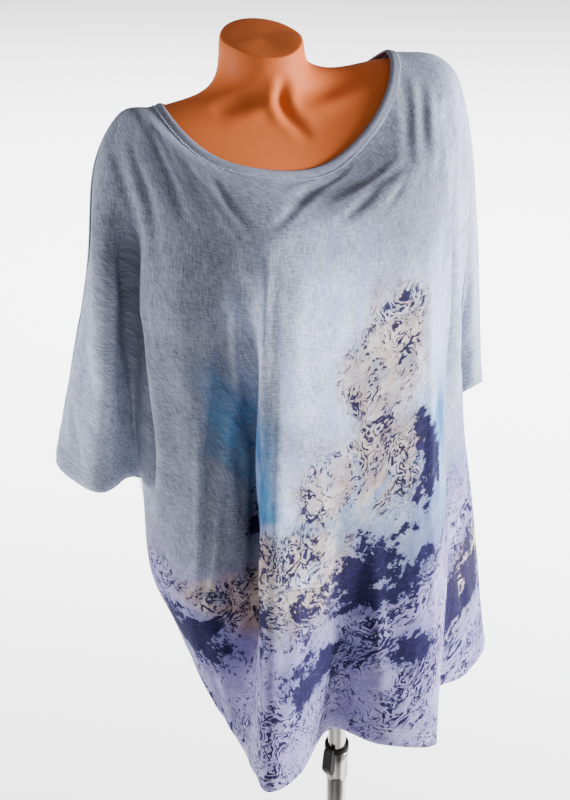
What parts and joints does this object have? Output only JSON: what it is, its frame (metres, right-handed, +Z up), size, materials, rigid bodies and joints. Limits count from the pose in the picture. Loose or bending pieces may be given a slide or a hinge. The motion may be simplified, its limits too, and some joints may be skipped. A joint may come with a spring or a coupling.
{
  "type": "t-shirt on dress form",
  "caption": "Loose batwing T-shirt with a scoop neck and curved hem, worn by a limbless dress form on a height-adjustable pole with a round base.",
  "frame": {"origin": "on the floor, under the middle of the pole", "axes": "+Z up along the pole, -Y towards the wearer's front, +X towards the wearer's left"},
  "size_m": [0.5529, 0.3709, 1.3885],
  "materials": {
    "front_jersey": "matte blue-grey melange jersey with a placed marbled print",
    "back_jersey": "matte blue-grey melange jersey, marbled towards the hem",
    "binding_jersey": "matte blue-grey melange jersey",
    "form_plastic": "satin terracotta plastic",
    "chromed_rod": "polished",
    "chromed_tube": "polished",
    "chromed_sleeve": "polished",
    "black_collar": "satin",
    "black_lever": "satin",
    "painted_base": "satin black"
  },
  "bodies": {
    "stand": {"base_plate": "painted_base", "lower_tube": "chromed_tube", "clamp_sleeve": "chromed_sleeve", "clamp_collar": "black_collar", "clamp_lever": "black_lever"},
    "rod": {"upper_rod": "chromed_rod"},
    "form": {"dress_form": "form_plastic", "front_panel": "front_jersey", "back_panel": "back_jersey", "neck_binding": "binding_jersey"}
  },
  "joints": [
    {"name": "height", "type": "slide", "parent": "stand", "child": "rod", "axis": [0, 0, 1], "range_m": [-0.09, 0.2]},
    {"name": "turn", "type": "hinge", "parent": "rod", "child": "form", "pos_m": [0, 0, 0.7], "axis": [0, 0, 1], "continuous": true}
  ]
}
